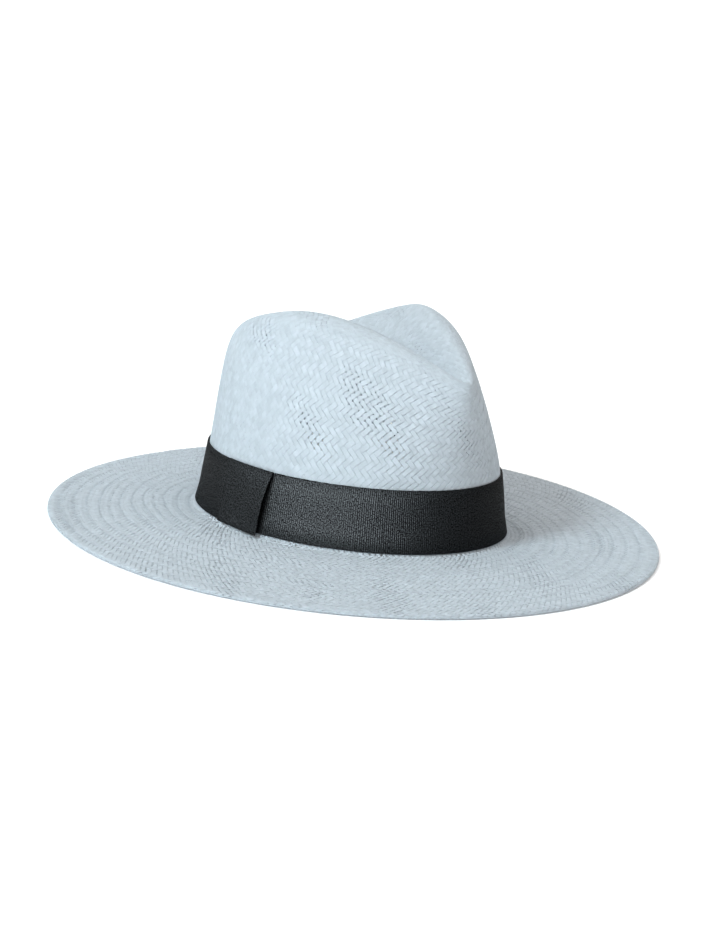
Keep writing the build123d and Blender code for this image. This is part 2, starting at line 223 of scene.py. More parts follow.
def shoulder_ring(side_out, front_out, back_out, down, pinch_left, back_rise):
    """A ring part of the way from the ridge to the top of the straight wall."""
    top_half_width = HEAD_HALF_WIDTH - WALL_TAPER
    top_half_length = HEAD_HALF_LENGTH - WALL_TAPER
    return ring(mix(RIDGE_HALF_WIDTH, top_half_width, side_out),
                mix(RIDGE_FRONT, top_half_length, front_out),
                mix(RIDGE_BACK, top_half_length, back_out),
                RIDGE_SHIFT * (1.0 - back_out),
                PINCH * pinch_left,
                mix(RIDGE_HEIGHT, WALL_TOP_HEIGHT, down),
                mix(RIDGE_FRONT_HEIGHT, WALL_TOP_HEIGHT, down),
                mix(RIDGE_BACK_HEIGHT, WALL_TOP_HEIGHT, down) + back_rise,
                FRONT_DROP * (1.0 - down))


def wall_rings():
    """Rings over the shoulder and down the wall to its foot."""
    middle_height = (WALL_FOOT_HEIGHT + WALL_TOP_HEIGHT) / 2.0
    rings = [
        shoulder_ring(0.30, 0.31, 0.67, 0.04, 0.84, BACK_SHELF_RISE),
        shoulder_ring(0.61, 0.38, 0.93, 0.10, 0.86, BACK_SHELF_RISE * 0.4),
        shoulder_ring(0.78, 0.58, 0.98, 0.41, 0.49, 0.0),
        shoulder_ring(0.87, 0.72, 1.02, 0.75, 0.15, 0.0),
    ]
    for taper, height in ((WALL_TAPER, WALL_TOP_HEIGHT),
                          (WALL_TAPER * 0.4, middle_height),
                          (0.0, WALL_FOOT_HEIGHT)):
        half_length = HEAD_HALF_LENGTH - taper
        rings.append(ring(HEAD_HALF_WIDTH - taper, half_length, half_length, 0.0, 0.0,
                          height, height, height))
    return rings


def brim_rings():
    """Rings from the break at the wall's foot out to the brim's edge."""
    rings = []
    for share in BRIM_RING_SHARES:
        half_width = mix(HEAD_HALF_WIDTH + BREAK_REACH, BRIM_HALF_WIDTH, share)
        half_length = mix(HEAD_HALF_LENGTH + BREAK_REACH, BRIM_HALF_LENGTH, share)
        fall = BRIM_STRAIGHT_FALL * share + BRIM_CURVED_FALL * share ** 2
        height = mix(BREAK_HEIGHT, BRIM_EDGE_TOP, fall)
        rings.append(ring(half_width, half_length, half_length, -HEAD_SET_BACK * share, 0.0,
                          height, height, height))
    return rings


RINGS = np.array(dent_rings() + wall_rings() + brim_rings())
LAST_RING = len(RINGS) - 1
WALL_RING = 11


def ring_points(angles):
    """The control points of every ring at the angles, with one more ring past either end."""
    columns = [RINGS[:, k, None] for k in range(RINGS.shape[1])]
    half_width, front, back, centre_y, pinch, side_z, front_z, back_z, front_drop = columns
    cosine = np.cos(angles)[None]
    to_front = (1.0 + cosine) / 2.0
    even_part = (front_z + front_drop + back_z) / 2.0 - side_z
    odd_part = (front_z + front_drop - back_z) / 2.0
    x = half_width * np.sin(angles)[None] * (1.0 - pinch * to_front ** PINCH_SHARPNESS)
    y = centre_y - cosine * ((front + back) / 2.0 + (front - back) / 2.0 * cosine) + HEAD_SET_BACK
    z = side_z + even_part * cosine ** 2 + odd_part * cosine
    z = z - front_drop * to_front ** FRONT_DROP_SHARPNESS
    points = np.stack([x, y, z], axis=-1)
    before = 2.0 * points[:1] - points[1:2]
    after = 2.0 * points[-1:] - points[-2:-1]
    return np.concatenate([before, points, after])


def surface(steps, angles):
    """Points of the straw's outer face, one row for each step and one column for each angle.

    The rings are the control points of a uniform cubic B-spline.
    """
    points = ring_points(angles)
    index = np.clip(np.floor(steps).astype(int), 0, LAST_RING - 1)
    u = (steps - index)[:, None, None]
    return ((1.0 - u) ** 3 / 6.0 * points[index]
            + (3.0 * u ** 3 - 6.0 * u ** 2 + 4.0) / 6.0 * points[index + 1]
            + (-3.0 * u ** 3 + 3.0 * u ** 2 + 3.0 * u + 1.0) / 6.0 * points[index + 2]
            + u ** 3 / 6.0 * points[index + 3])


def lean(points, weight):
    """Tips points of the crown over, all the way where the weight is 1."""
    towards = np.array([math.sin(LEAN_FROM), -math.cos(LEAN_FROM), 0.0])
    reach = points @ towards
    moved = points - (points[..., 2] * LEAN * weight)[..., None] * towards
    moved[..., 2] += reach * LEAN * weight
    return moved


def brim_wave(points):
    """How far the soft brim lifts off its flat shape, at its outer part on the wearer's left."""
    out = np.hypot(points[..., 0] / BRIM_HALF_WIDTH, points[..., 1] / BRIM_HALF_LENGTH)
    round_angle = np.arctan2(points[..., 0], -points[..., 1])
    lifted = np.clip(np.cos((round_angle - WAVE_ANGLE) * WAVE_NARROWING), 0.0, 1.0)
    return WAVE_LIFT * smooth_step(WAVE_START, 1.0, out) * lifted ** 2


# ---- Meshes -------------------------------------------------------------------------------------

def mesh_object(name, points, faces, uv, material, replaced=()):
    """A piece from points in millimetres, faces as rows of corners, and a UV for each corner."""
    mesh = bpy.data.meshes.new(name)
    mesh.vertices.add(len(points))
    mesh.vertices.foreach_set("co", (points * MM).astype(np.float32).ravel())
    size = faces.shape[1]
    mesh.loops.add(faces.size)
    mesh.loops.foreach_set("vertex_index", faces.astype(np.int32).ravel())
    mesh.polygons.add(len(faces))
    mesh.polygons.foreach_set("loop_start", np.arange(0, faces.size, size, dtype=np.int32))
    mesh.polygons.foreach_set("use_smooth", np.ones(len(faces), dtype=bool))
    layer = mesh.uv_layers.new(name="UVMap")
    layer.data.foreach_set("uv", uv[faces.ravel()].astype(np.float32).ravel())
    mesh.update(calc_edges=True)
    mesh.validate()
    piece = bpy.data.objects.new(name, mesh)
    bpy.context.scene.collection.objects.link(piece)
    mesh.materials.append(material)
    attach(piece, "root")
    if replaced:
        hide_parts(*replaced)
    return piece


def grid_faces(rows, columns, wrap_rows, wrap_columns):
    """The faces of a grid of points; the grid may close on itself either way."""
    row = np.arange(rows if wrap_rows else rows - 1)[:, None]
    column = np.arange(columns if wrap_columns else columns - 1)[None]
    next_row = (row + 1) % rows
    next_column = (column + 1) % columns
    corners = [row * columns + column, row * columns + next_column,
               next_row * columns + next_column, next_row * columns + column]
    return np.stack([np.broadcast_to(c, (row.size, column.size)).ravel() for c in corners], axis=1)


# ---- The weave's grid ---------------------------------------------------------------------------

def even_round(loop, count):
    """A closed loop's points, spaced evenly along it."""
    closed = np.vstack([loop, loop[:1]])
    lengths = np.linalg.norm(np.diff(closed, axis=0), axis=1)
    along = np.concatenate([[0.0], np.cumsum(lengths)])
    wanted = np.linspace(0.0, along[-1], count, endpoint=False)
    return np.stack([np.interp(wanted, along, closed[:, axis]) for axis in range(3)], axis=1)


def hem_loops(angles):
    """Loops that go round the brim's edge and back under it to the hem's inner edge."""
    edge = np.stack([BRIM_HALF_WIDTH * np.sin(angles), -BRIM_HALF_LENGTH * np.cos(angles),
                     np.zeros_like(angles)], axis=1)
    outward = np.stack([np.sin(angles) / BRIM_HALF_WIDTH, -np.cos(angles) / BRIM_HALF_LENGTH,
                        np.zeros_like(angles)], axis=1)
    outward /= np.linalg.norm(outward, axis=1, keepdims=True)
    loops = []
    for turn in np.linspace(math.pi / 2.0, -math.pi / 2.0, EDGE_LOOPS + 1)[1:]:
        loop = edge + outward * EDGE_RADIUS * math.cos(turn)
        loop[:, 2] = EDGE_RADIUS + EDGE_RADIUS * math.sin(turn)
        loops.append(loop)
    for inset in np.linspace(0.0, HEM_WIDTH - EDGE_RADIUS, HEM_LOOPS + 1)[1:]:
        loops.append(edge - outward * inset)
    return loops


def loops_from_dent_to_hem(steps):
    """Loops of evenly spaced points over the whole straw, with the crown's lean and brim's lift."""
    angles = np.linspace(0.0, FULL_TURN, FINE_COLUMNS + 1)[:-1]
    outside = surface(steps, angles)
    rounded = np.stack([even_round(loop, ROUND_COLUMNS) for loop in outside])
    weight = 1.0 - smooth_step(LEAN_FULL_RING, LEAN_NONE_RING, steps)
    rounded = lean(rounded, weight[:, None])
    rounded[..., 2] += brim_wave(rounded)
    hem = np.stack([even_round(loop, ROUND_COLUMNS) for loop in hem_loops(angles)])
    hem[..., 2] += brim_wave(hem)
    return np.concatenate([rounded, hem])


def weave_grid():
    """The weave's middle face: points, normals, running turns, mean radii and ring steps.

    The running turn is the distance along the straw divided by the radius, added up from the
    dent's middle.  Strips at 45 degrees to the rings are straight lines in turn and angle.
    """
    steps = np.linspace(FIRST_STEP, LAST_RING, RING_ROWS)
    points = loops_from_dent_to_hem(steps)
    around = np.roll(points, -1, axis=1) - np.roll(points, 1, axis=1)
    along = np.gradient(points, axis=0)
    normals = np.cross(along, around)
    normals /= np.linalg.norm(normals, axis=-1, keepdims=True) + 1e-12
    spacing = np.linalg.norm(np.diff(points, axis=0), axis=-1).mean(axis=1)
    lengths = np.linalg.norm(np.roll(points, -1, axis=1) - points, axis=-1).sum(axis=1)
    radii = lengths / FULL_TURN
    turn = np.concatenate([[0.0], np.cumsum(spacing * 2.0 / (radii[1:] + radii[:-1]))])
    points = points - normals * MIDDLE_DEPTH
    return points, normals, turn, radii, steps


GRID, NORMALS, TURN, RADII, GRID_STEPS = weave_grid()


def hand_woven(turn, theta):
    """Moves places on the grid a little, as hand weaving does, except at the brim's edge."""
    calm = smooth_step(0.0, CALM_TURN, TURN[-1] - turn)
    wander = 0.006 * np.sin(4.0 * theta + 11.0 * turn) + 0.004 * np.sin(9.0 * theta - 17.0 * turn)
    sideways = 0.008 * np.sin(5.0 * theta + 9.0 * turn)
    return turn + wander * calm, theta + sideways * calm


def sample_grid(turn, theta):
    """Points and normals of the grid at running turns and angles round the hat."""
    turn, theta = hand_woven(turn, theta)
    row = np.interp(turn, TURN, np.arange(len(TURN)))
    column = (theta / FULL_TURN) % 1.0 * ROUND_COLUMNS
    low_row = np.clip(np.floor(row).astype(int), 0, len(TURN) - 2)
    low_column = np.floor(column).astype(int) % ROUND_COLUMNS
    high_column = (low_column + 1) % ROUND_COLUMNS
    u = (row - low_row)[..., None]
    v = (column - np.floor(column))[..., None]
    found = []
    for values in (GRID, NORMALS):
        low = values[low_row, low_column] * (1.0 - v) + values[low_row, high_column] * v
        high = values[low_row + 1, low_column] * (1.0 - v) + values[low_row + 1, high_column] * v
        found.append(low * (1.0 - u) + high * u)
    return found


# ---- Woven strips -------------------------------------------------------------------------------
# Strips run at 45 degrees to the rings in two families, over two and under two, so that each row
# round the hat shows one family.  A zone is a stretch of rings with the same count of strips.
# Knots are places along a strip, counted in crossings, and two crossings hold four of them.
# A section goes across the strip, from edge to edge, with rounded shoulders and a flat top.

KNOTS = np.array([0.0, 0.4, 1.0, 1.6])
SECTION_ACROSS = np.array([-1.0, -0.95, -0.7, 0.7, 0.95, 1.0])
SECTION_UP = np.array([-0.5, 0.38, 0.5, 0.5, 0.38, -0.5])


def weave_wave(k):
    """A strip's rise over two others and fall under two, with a dip where the two meet."""
    rise = np.sin(math.pi * k / 2.0)
    flattened = np.tanh(FLOAT_FLATNESS * rise) / math.tanh(FLOAT_FLATNESS)
    return flattened * (1.0 - FLOAT_DIP * rise ** 8)


def looseness(points, everywhere):
    """How much narrower strips are where four of them meet: pinholes show in a few patches."""
    x, y, z = (points[..., axis] for axis in range(3))
    patches = (np.sin(x / 17.0 + 1.1) * np.sin(y / 23.0 + 0.6) * np.sin(z / 15.0 + 2.2)
               + 0.6 * np.sin(x / 9.0 - y / 12.0 + z / 11.0))
    from_middle = np.hypot(x, y)
    beside_ribbon = smooth_step(0.0, 1.0, (132.0 - from_middle) / 28.0) * (z < 9.0)
    gap = everywhere + PATCH_GAP * smooth_step(0.3, 0.8, patches)
    return gap + RIBBON_SIDE_GAP * beside_ribbon


def proudness(points):
    """How far the weave stands out below the front pinch, where the straw was worked by hand."""
    x, y, z = (points[..., axis] for axis in range(3))
    to_front = smooth_step(0.76, 0.94, -y / np.hypot(x, y))
    above_brim = smooth_step(12.0, 20.0, z)
    below_pinch = smooth_step(112.0, 92.0, z)
    return to_front * above_brim * below_pinch


def knots_along(crossings):
    """The knots of a strip that goes over and under the other family this many times."""
    periods = int(math.ceil(crossings / 2.0)) + 1
    knots = (2.0 * np.arange(-1, periods)[:, None] + KNOTS).ravel()
    inside = (knots > -STRIP_OVERHANG) & (knots < crossings + STRIP_OVERHANG)
    return knots[inside]


def strip_places(leaning, openness, count, turn_start, knots):
    """Points and normals across every strip of a family, at its knots."""
    own = np.arange(count)[:, None, None] + (0.5 if leaning > 0 else 0.0)
    other = own + leaning * knots[None, :, None]
    across = SECTION_ACROSS[None, None] * 0.5
    at_corner = (np.abs(knots - np.round(knots)) < 0.01)[None, :, None]
    wander = rng.normal(0.0, STRIP_WANDER, (count, len(knots), 1))
    unevenness = rng.uniform(0.3, 1.1, (count, len(knots), 1))
    width = STRIP_WIDTH
    for _ in range(2):
        side = own + wander + across * width
        k = (other - side) * leaning
        theta = (side + other) * math.pi / count
        points, normals = sample_grid(turn_start + k * math.pi / count, theta)
        loose = looseness(points.mean(axis=2), openness)[..., None]
        width = STRIP_WIDTH - np.where(at_corner, loose * unevenness, 0.0)
    return points, normals


def strip_faces(leaning, count, knots):
    """The faces of every strip of a family, each a tube with open ends that are tucked under."""
    section = len(SECTION_UP)
    one = grid_faces(len(knots), section, False, True)
    if leaning > 0:
        one = one[:, ::-1]
    size = len(knots) * section
    return (one[None] + (np.arange(count) * size)[:, None, None]).reshape(-1, 4)


def strip_family(leaning, weave, count, turn_start, turn_end):
    """The strips of one family in one zone, as points, faces and UVs."""
    thickness, relief, openness = weave
    knots = knots_along((turn_end - turn_start) * count / math.pi)
    points, normals = strip_places(leaning, openness, count, turn_start, knots)
    proud = proudness(points.mean(axis=2))[..., None]
    wave = leaning * weave_wave(knots)[None, :, None] * relief * (1.0 + PROUD_RELIEF * proud)
    wave = wave - leaning * PROUD_STEP * proud
    tuck = TUCK_DEPTH * (1.0 - smooth_step(-STRIP_OVERHANG, 0.9, knots))[None, :, None]
    height = wave - tuck + SECTION_UP[None, None] * thickness
    points = points + normals * height[..., None]
    length = np.broadcast_to(knots[None, :, None] * GRAIN_LENGTH, points.shape[:3])
    shade = np.broadcast_to(rng.random(count)[:, None, None], points.shape[:3])
    uv = np.stack([length, shade], axis=-1).reshape(-1, 2)
    return points.reshape(-1, 3), strip_faces(leaning, count, knots), uv


def turn_at_radius(radius, first_row, last_row):
    """The running turn where the hat reaches a mean radius, between two rows of the grid."""
    rows = np.arange(first_row, last_row)
    return np.interp(radius, RADII[rows], TURN[rows])


def joined(parts):
    """Several meshes' points, faces and UVs as one mesh's."""
    points, faces, uv, start = [], [], [], 0
    for part_points, part_faces, part_uv in parts:
        points.append(part_points)
        faces.append(part_faces + start)
        uv.append(part_uv)
        start += len(part_points)
    return np.concatenate(points), np.concatenate(faces), np.concatenate(uv)


def woven_pieces(name, zones, weave, material):
    """One piece for each family of strips across the zones."""
    for leaning, side in ((1, "right"), (-1, "left")):
        parts = [strip_family(leaning, weave, *zone) for zone in zones]
        points, faces, uv = joined(parts)
        mesh_object(f"{name}_{side}_strips", points, faces, uv, material,
                    ["straw_body"])


def centre_patch(material):
    """The small patch in the dent's middle, where the weaving starts, under the first strips."""
    last = int(np.searchsorted(RADII[:RING_ROWS], CENTRE_RADIUS))
    rows = np.linspace(0, last, CENTRE_ROWS).astype(int)
    columns = np.arange(0, ROUND_COLUMNS, CENTRE_COLUMN_STEP)
    normals = NORMALS[np.ix_(rows, columns)]
    top = GRID[np.ix_(rows, columns)] - normals * CENTRE_DEPTH
    top[0] = top[0].mean(axis=0)
    points = np.concatenate([top[::-1], top - normals * CENTRE_THICKNESS])
    faces = grid_faces(len(points), len(columns), True, True)
    uv = points[..., :2].reshape(-1, 2)
    mesh_object("crown_centre", points.reshape(-1, 3), faces, uv, material,
                ["straw_body"])


def woven_straw(material):
    """The whole straw body: the dent, the crown and the brim with its hem."""
    centre_patch(material)
    foot_row = int(np.searchsorted(GRID_STEPS, LEAN_FULL_RING))
    foot_turn = TURN[foot_row]
    turns = [turn_at_radius(radius, 0, foot_row) for radius in CROWN_LIMITS]
    dent_zones = list(zip(CROWN_COUNTS, turns[:-1], turns[1:]))
    woven_pieces("dent", dent_zones, CROWN_WEAVE, material)
    woven_pieces("crown", [(WALL_COUNT, turns[-1], foot_turn)], CROWN_WEAVE, material)
    brim_turns = [turn_at_radius(radius, foot_row, RING_ROWS) for radius in BRIM_LIMITS]
    starts = [foot_turn, *brim_turns]
    ends = [*brim_turns, TURN[-1]]
    for (name, count), start, end in zip(BRIM_PARTS, starts, ends):
        woven_pieces(name, [(count, start, end)], BRIM_WEAVE, material)


# ---- Ribbon, tab and sweatband ------------------------------------------------------------------

def wall_points(heights, angles, offsets):
    """Points on the wall: a row for each height and a column for each angle, moved out."""
    shape = (len(heights), angles.shape[-1])
    angles = np.broadcast_to(angles, shape)
    steps = np.linspace(WALL_RING - STEPS_ABOVE_FOOT, WALL_RING + STEPS_BELOW_FOOT, WALL_STEPS)
    points = np.empty((*shape, 3))
    for row, height in enumerate(heights):
        columns = surface(steps, angles[row])
        ahead = surface(steps, angles[row] + SMALL_ANGLE)
        below = np.clip((columns[..., 2] > height).sum(axis=0), 1, len(steps) - 1)
        column = np.arange(shape[1])
        high = columns[below - 1, column]
        low = columns[below, column]
        share = ((high[:, 2] - height) / (high[:, 2] - low[:, 2]))[:, None]
        run = ahead[below, column] - low
        outward = np.stack([run[:, 1], -run[:, 0], np.zeros(shape[1])], axis=1)
        outward /= np.linalg.norm(outward, axis=1, keepdims=True)
        offset = np.broadcast_to(offsets, shape)[row][:, None]
        points[row] = high + (low - high) * share + outward * offset
    return lean(points, np.ones(1))


def band_piece(name, heights, angles, inner, outer, closed, material, replaced):
    """A thick band of cloth on the wall, from its inner and outer offsets."""
    outer_points = wall_points(heights, angles, outer)
    inner_points = wall_points(heights, angles, inner)
    rows = np.concatenate([outer_points, inner_points[::-1]])
    count = rows.shape[1]
    faces = grid_faces(len(rows), count, True, closed)
    length = np.linspace(0.0, np.ptp(angles) * WALL_RADIUS, count)
    rise = np.concatenate([heights, heights[::-1]])
    uv = np.stack(np.meshgrid(length, rise), axis=-1).reshape(-1, 2)
    if not closed:
        faces = np.concatenate([faces, end_faces(len(rows), count)])
    return mesh_object(name, rows.reshape(-1, 3), faces, uv, material, replaced)


def end_faces(rows, columns):
    """Faces that close the two ends of a band that doesn't go all the way round."""
    row = np.arange(rows // 2 - 1)
    far = rows - 1 - row
    ends = []
    for column, order in ((0, 1), (columns - 1, -1)):
        corners = [row * columns + column, (row + 1) * columns + column,
                   (far - 1) * columns + column, far * columns + column]
        ends.append(np.stack(corners, axis=1)[:, ::order])
    return np.concatenate(ends)


def edged_heights(low, high, count):
    """Heights up a ribbon, with a close row near each edge for its rounding."""
    inner = np.linspace(low + EDGE_ROUNDING, high - EDGE_ROUNDING, count)
    return np.concatenate([[low], inner, [high]])


def hat_band(material):
    """The ribbon, with ribs that run up and down it."""
    angles = np.linspace(0.0, FULL_TURN, RIBS_ROUND * RIB_POINTS + 1)[:-1]
    heights = edged_heights(ribbon_low[2], ribbon_high[2], 5) - RIBBON_DROP
    outer = RIBBON_OFFSET + RIBBON_THICKNESS + RIB_HEIGHT * np.cos(RIBS_ROUND * angles)
    outer = np.repeat(outer[None], len(heights), axis=0)
    outer[[0, -1]] -= EDGE_ROUNDING
    piece = band_piece("ribbon", heights, angles, RIBBON_OFFSET, outer, True, material,
                       ["hat_band"])


def band_tab(material):
    """The ribbon's end, folded over the join, with its front edge standing off."""
    heights = edged_heights(ribbon_low[2] - TAB_PAST_FOOT, ribbon_high[2] + TAB_PAST_TOP, 13)
    heights = heights - RIBBON_DROP
    share = np.linspace(0.0, 1.0, TAB_RIBS * RIB_POINTS + 1)[None]
    up = ((heights - heights[0]) / (heights[-1] - heights[0]))[:, None]
    front = mix(TAB_FRONT_FOOT, TAB_FRONT_TOP, up)
    angles = mix(TAB_BACK, front, share)
    bulge = TAB_LIFT + TAB_MIDDLE_LIFT * np.sin(math.pi * up) + TAB_FOOT_LIFT * (1.0 - up)
    lift = bulge * share ** TAB_LIFT_SHARPNESS
    seat = RIBBON_OFFSET + RIBBON_THICKNESS + RIB_HEIGHT
    inner = seat + lift
    outer = inner + TAB_THICKNESS + RIB_HEIGHT * np.cos(FULL_TURN * TAB_RIBS * share)
    outer[[0, -1]] -= EDGE_ROUNDING
    piece = band_piece("ribbon_tab", heights, angles, inner, outer, False, material,
                       ["band_tab"])


def sweatband(material):
    """The cloth band inside the opening, a little thicker just inside its edges."""
    angles = np.linspace(0.0, FULL_TURN, 361)[:-1]
    heights = np.linspace(sweatband_low[2], sweatband_high[2], 13)
    edge = np.zeros(len(heights))
    edge[[0, -1]] = SWEATBAND_EDGE_IN
    edge[[1, -2]] = SWEATBAND_EDGE_OUT
    inner = (SWEATBAND_OFFSET + edge)[:, None]
    piece = band_piece("sweatband_cloth", heights, angles, inner,
                       SWEATBAND_OFFSET + SWEATBAND_THICKNESS, True, material,
                       ["sweatband"])


def sweatband_patch(name, low, high, start, end, material, replaced):
    """A small piece of cloth on the inner face of the sweatband, between two angles in degrees."""
    angles = np.linspace(math.radians(start), math.radians(end), 25)
    heights = np.linspace(low, high, 9)
    outer = SWEATBAND_OFFSET - PATCH_CLOTH_CLEARANCE
    piece = band_piece(name, heights, angles, outer - PATCH_CLOTH_THICKNESS, outer, False,
                       material, replaced)


def thread_stitches(name, centres, directions, half_length, material, replaced):
    """Short round stitches with tapered ends."""
    turns = np.linspace(0.0, FULL_TURN, 9)[:-1]
    stations = np.array([-1.0, -0.85, -0.5, 0.5, 0.85, 1.0])
    girths = np.array([0.15, 0.75, 1.0, 1.0, 0.75, 0.15])
    directions = directions / np.linalg.norm(directions, axis=1, keepdims=True)
    sideways = np.cross(directions, np.array([0.0, 0.0, 1.0]))
    sideways /= np.linalg.norm(sideways, axis=1, keepdims=True) + 1e-9
    upward = np.cross(sideways, directions)
    parts = []
    for centre, direction, side, up in zip(centres, directions, sideways, upward):
        rings_at = centre + direction * (stations * half_length)[:, None]
        circle = np.cos(turns)[:, None] * side + np.sin(turns)[:, None] * up
        points = rings_at[:, None] + circle[None] * (girths * THREAD_RADIUS)[:, None, None]
        faces = grid_faces(len(stations), len(turns), False, True)
        uv = np.zeros((points.shape[0] * points.shape[1], 2))
        parts.append((points.reshape(-1, 3), faces, uv))
    points, faces, uv = joined(parts)
    return mesh_object(name, points, faces, uv, material, replaced)


def sweatband_stitches(material):
    """A row of stitches along the sweatband's lower edge, except under the tape at the back."""
    angles = (np.arange(SWEATBAND_STITCHES) + 0.5) / SWEATBAND_STITCHES * 2.0 * math.pi
    angles = angles[np.abs(np.degrees(angles) - 180.0) > 8.0]
    height = np.array([sweatband_low[2] + STITCH_INSET])
    offset = SWEATBAND_OFFSET - STITCH_CLEARANCE
    centres = wall_points(height, angles, offset)[0]
    ahead = wall_points(height, angles + SMALL_ANGLE, offset)[0]
    thread_stitches("sweatband_thread", centres, ahead - centres, STITCH_HALF_LENGTH, material,
                    ["sweatband_stitches"])


def tab_tacks(material):
    """Two upright tacks under the tab, which hold the ribbon to the crown."""
    angle = np.array([TAB_FRONT_FOOT - TACK_BEHIND_FRONT])
    offset = RIBBON_OFFSET + RIBBON_THICKNESS + TACK_OFFSET
    heights = np.array([ribbon_low[2] + TACK_INSET, ribbon_high[2] - TACK_INSET])
    centres = wall_points(heights, angle, offset)[:, 0]
    nearly_upright = np.array([1e-4, 0.0, 1.0])
    directions = np.stack([nearly_upright, nearly_upright])
    thread_stitches("tab_thread", centres, directions, TACK_HALF_LENGTH, material,
                    ["band_tacks"])


# ---- Materials ----------------------------------------------------------------------------------

def new_material(name, colour, roughness):
    """A plain material, with its node tree and shader."""
    material = bpy.data.materials.new(name)
    material.use_nodes = True
    shader = material.node_tree.nodes["Principled BSDF"]
    shader.inputs["Base Color"].default_value = (*colour, 1.0)
    shader.inputs["Roughness"].default_value = roughness
    return material, material.node_tree, shader


def mottle(tree, shader, vector, scale, dark, light, detail=3.0):
    """Colour that wanders between two tones with a noise."""
    noise = tree.nodes.new("ShaderNodeTexNoise")
    noise.inputs["Scale"].default_value = scale
    noise.inputs["Detail"].default_value = detail
    tree.links.new(vector, noise.inputs["Vector"])
    ramp = tree.nodes.new("ShaderNodeValToRGB")
    ramp.color_ramp.elements[0].position = 0.3
    ramp.color_ramp.elements[0].color = (*dark, 1.0)
    ramp.color_ramp.elements[1].position = 0.7
    ramp.color_ramp.elements[1].color = (*light, 1.0)
    tree.links.new(noise.outputs["Fac"], ramp.inputs["Fac"])
    tree.links.new(ramp.outputs["Color"], shader.inputs["Base Color"])
    return noise, ramp


def bump(tree, shader, height, strength, distance):
    """Fine roughness of the surface from a height pattern."""
    node = tree.nodes.new("ShaderNodeBump")
    node.inputs["Strength"].default_value = strength
    node.inputs["Distance"].default_value = distance
    tree.links.new(height, node.inputs["Height"])
    tree.links.new(node.outputs["Normal"], shader.inputs["Normal"])


def straw_material():
    """Pale paper straw: each strip a little lighter or darker, with fine lengthwise grain."""
    material, tree, shader = new_material("paper_straw", (0.46, 0.51, 0.55), 0.9)
    shader.inputs["Specular IOR Level"].default_value = 0.0
    coordinates = tree.nodes.new("ShaderNodeTexCoord")
    stretch = tree.nodes.new("ShaderNodeMapping")
    stretch.inputs["Scale"].default_value = (0.06, 31.0, 1.0)
    tree.links.new(coordinates.outputs["UV"], stretch.inputs["Vector"])
    noise, _ = mottle(tree, shader, stretch.outputs["Vector"], 3.0,
                      (0.365, 0.405, 0.44), (0.455, 0.505, 0.545))
    bump(tree, shader, noise.outputs["Fac"], 0.15, 0.0003)
    return material


def grosgrain_material():
    """Charcoal ribbon with a low sheen."""
    material, tree, shader = new_material("grosgrain", (0.010, 0.011, 0.012), 0.5)
    coordinates = tree.nodes.new("ShaderNodeTexCoord")
    noise, ramp = mottle(tree, shader, coordinates.outputs["UV"], 1.3,
                         (0.001, 0.0012, 0.0015), (0.008, 0.0095, 0.011), 2.0)
    ramp.color_ramp.elements[0].position = 0.4
    ramp.color_ramp.elements[1].position = 0.6
    gloss = tree.nodes.new("ShaderNodeMapRange")
    gloss.inputs["From Min"].default_value = 0.36
    gloss.inputs["From Max"].default_value = 0.64
    gloss.inputs["To Min"].default_value = 0.0
    gloss.inputs["To Max"].default_value = 0.12
    tree.links.new(noise.outputs["Fac"], gloss.inputs["Value"])
    tree.links.new(gloss.outputs["Result"], shader.inputs["Specular IOR Level"])
    bump(tree, shader, noise.outputs["Fac"], 0.4, 0.0003)
    return material


def cloth_material(name, dark, light, scale):
    """Plain woven cloth."""
    material, tree, shader = new_material(name, light, 0.85)
    coordinates = tree.nodes.new("ShaderNodeTexCoord")
    noise, _ = mottle(tree, shader, coordinates.outputs["UV"], scale, dark, light, 4.0)
    bump(tree, shader, noise.outputs["Fac"], 0.3, 0.0003)
    return material


def thread_material(name, dark, light):
    """Matt thread, mottled at the size of its plies."""
    material, tree, shader = new_material(name, light, 0.8)
    coordinates = tree.nodes.new("ShaderNodeTexCoord")
    mottle(tree, shader, coordinates.outputs["Object"], 1500.0, dark, light)
    return material


def steel_material():
    """Drawn steel wire."""
    material, tree, shader = new_material("steel_wire", (0.55, 0.55, 0.56), 0.3)
    shader.inputs["Metallic"].default_value = 1.0
    coordinates = tree.nodes.new("ShaderNodeTexCoord")
    mottle(tree, shader, coordinates.outputs["Object"], 900.0, (0.5, 0.5, 0.51), (0.6, 0.6, 0.61))
    return material


def floor_material():
    """A plain white floor, lit a little from below."""
    material, _, shader = new_material("floor_paper", (0.92, 0.92, 0.92), 0.9)
    shader.inputs["Emission Strength"].default_value = 0.08
    return material


# ---- Build the hat ------------------------------------------------------------------------------

def shown_as_it_is(node, material):
    """Gives its material to a solid piece that already has the right shape."""
    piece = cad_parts[node]
    piece.data.materials.clear()
    piece.data.materials.append(material)


straw = straw_material()
grosgrain = grosgrain_material()
sweat_cloth = cloth_material("sweatband_cloth", (0.60, 0.58, 0.54), (0.74, 0.72, 0.68), 2.0)
label_cloth = cloth_material("label_cloth", (0.72, 0.72, 0.70), (0.84, 0.84, 0.82), 3.0)
pale_thread = thread_material("pale_thread", (0.62, 0.66, 0.70), (0.78, 0.82, 0.86))
dark_thread = thread_material("dark_thread", (0.015, 0.015, 0.017), (0.03, 0.03, 0.033))
steel = steel_material()

